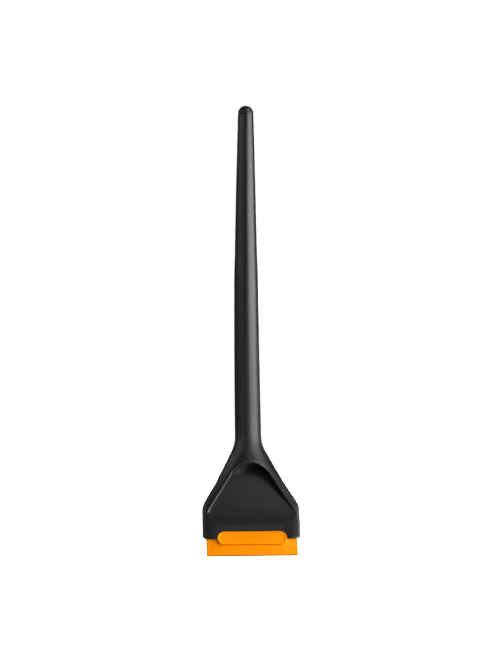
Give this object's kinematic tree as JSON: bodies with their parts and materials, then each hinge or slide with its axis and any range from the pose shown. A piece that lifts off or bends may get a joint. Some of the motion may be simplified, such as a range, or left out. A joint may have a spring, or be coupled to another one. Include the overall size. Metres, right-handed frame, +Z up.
{
  "type": "floor scraper",
  "caption": "Long-handled hand scraper: a hollow tapering handle flares into a wide head that clamps a straight blade, covered by a push-on guard with a thumb pad.",
  "frame": {"origin": "middle of the guard's flat foot, in the plane of the blade", "axes": "+Z up along the upright tool to the handle's tip, -Y to the front (the thumb pad's side), +X to the right seen from the front"},
  "size_m": [0.1126, 0.0746, 0.5191],
  "materials": {
    "handle_nylon": "finely textured black glass-filled nylon",
    "plug_nylon": "satin black plastic",
    "blade_steel": "ground hardened steel",
    "plate_black": "die-cast aluminium with a black powder coat",
    "fastener_zinc": "zinc-plated steel",
    "insert_brass": "plain brass",
    "guard_orange": "satin orange polypropylene"
  },
  "bodies": {
    "root": {"handle_body": "handle_nylon", "end_plug": "plug_nylon", "thread_insert_left": "insert_brass", "thread_insert_right": "insert_brass"},
    "blade": {"blade": "blade_steel"},
    "guard": {"blade_guard": "guard_orange"},
    "clamp": {"clamp_plate": "plate_black", "screw_washer_left": "fastener_zinc", "screw_washer_right": "fastener_zinc"},
    "screw_left": {"clamp_screw_left": "fastener_zinc"},
    "screw_right": {"clamp_screw_right": "fastener_zinc"}
  },
  "joints": [
    {"name": "clamp_slide", "type": "slide", "parent": "root", "child": "clamp", "axis": [0, 0.9537, -0.3007], "range_m": [0, 0.002]},
    {"name": "screw_left_turn", "type": "hinge", "parent": "clamp", "child": "screw_left", "pos_m": [-0.03, 0.01203, 0.03815], "axis": [0, 0.9537, -0.3007], "range_deg": [0, 900]},
    {"name": "screw_right_turn", "type": "hinge", "parent": "clamp", "child": "screw_right", "pos_m": [0.03, 0.01203, 0.03815], "axis": [0, 0.9537, -0.3007], "range_deg": [0, 900]},
    {"name": "blade_slide", "type": "slide", "parent": "root", "child": "blade", "axis": [0, -0.3007, -0.9537], "range_m": [0, 0.03]},
    {"name": "guard_slide", "type": "slide", "parent": "blade", "child": "guard", "axis": [0, -0.3007, -0.9537], "range_m": [0, 0.045]}
  ],
  "couplings": [
    {"joint": "screw_left_turn", "follows": "clamp_slide", "rad_per_m": 7854},
    {"joint": "screw_right_turn", "follows": "clamp_slide", "rad_per_m": 7854}
  ]
}
